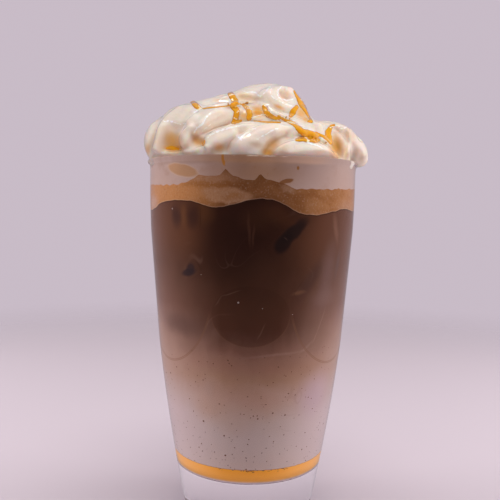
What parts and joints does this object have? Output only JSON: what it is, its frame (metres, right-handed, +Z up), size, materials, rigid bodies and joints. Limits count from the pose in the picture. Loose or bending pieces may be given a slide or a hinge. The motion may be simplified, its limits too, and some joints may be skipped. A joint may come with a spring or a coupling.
{
  "type": "caramel frappe",
  "caption": "Iced caramel coffee drink in layers in a tall clear glass, heaped with whipped cream and caramel drizzle.",
  "frame": {"origin": "middle of the flat foot of the glass, on the glass's own axis", "axes": "+Z up along the glass's axis, -Y towards the front, the side the picture shows, +X to the right of that front"},
  "size_m": [0.0901, 0.0868, 0.1802],
  "materials": {
    "clear_glass": "clear, polished",
    "caramel": "wet caramel sauce, glossy",
    "milk": "milk with vanilla specks, seen through glass",
    "coffee": "iced milky coffee, dark brown, seen through glass",
    "foam": "tan coffee foam with fine bubbles",
    "cream": "whipped cream, soft satin"
  },
  "bodies": {
    "root": {"tumbler": "clear_glass", "caramel_layer": "caramel", "milk_layer": "milk", "coffee_layer": "coffee", "foam_layer": "foam", "whipped_cream": "cream"}
  },
  "joints": []
}
